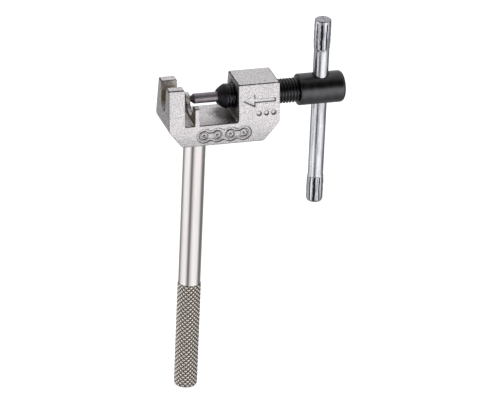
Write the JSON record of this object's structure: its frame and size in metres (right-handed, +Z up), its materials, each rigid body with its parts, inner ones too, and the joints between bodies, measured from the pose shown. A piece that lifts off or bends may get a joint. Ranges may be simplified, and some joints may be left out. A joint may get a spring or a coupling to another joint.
{
  "type": "chain tool",
  "caption": "Bicycle chain tool: cast frame on a knurled rod handle, threaded spindle with driver pin and sliding tommy bar.",
  "frame": {"origin": "centre of the handle's flat end face", "axes": "+Z up the handle towards the frame, +X along the spindle towards its head, +Y across the frame, away from the marked front face"},
  "size_m": [0.0588, 0.0152, 0.1245],
  "materials": {
    "satin_nickel": "satin nickel plate over a fine pebbled casting",
    "bright_nickel": "bright nickel plate on a turned rod, diamond knurl on the grip",
    "black_oxide": "satin black oxide",
    "ground_steel": "ground hardened steel, dark temper tint",
    "zinc_plate": "bright zinc plate with lengthwise drawing marks"
  },
  "bodies": {
    "body": {"frame": "satin_nickel", "handle": "bright_nickel"},
    "pin": {"driver_pin": "ground_steel"},
    "screw": {"spindle": "black_oxide"},
    "bar": {"tommy_bar": "zinc_plate"}
  },
  "joints": [
    {"name": "pin_feed", "type": "slide", "parent": "body", "child": "pin", "axis": [1, 0, 0], "range_m": [-0.007, 0.008]},
    {"name": "spindle_turn", "type": "hinge", "parent": "pin", "child": "screw", "pos_m": [0, 0, 0.1009], "axis": [1, 0, 0], "range_deg": [-2520, 2880]},
    {"name": "bar_slide", "type": "slide", "parent": "screw", "child": "bar", "axis": [0, 0, 1], "range_m": [-0.007, 0.025]}
  ],
  "couplings": [
    {"joint": "pin_feed", "follows": "spindle_turn", "m_per_rad": 0.00015915}
  ]
}
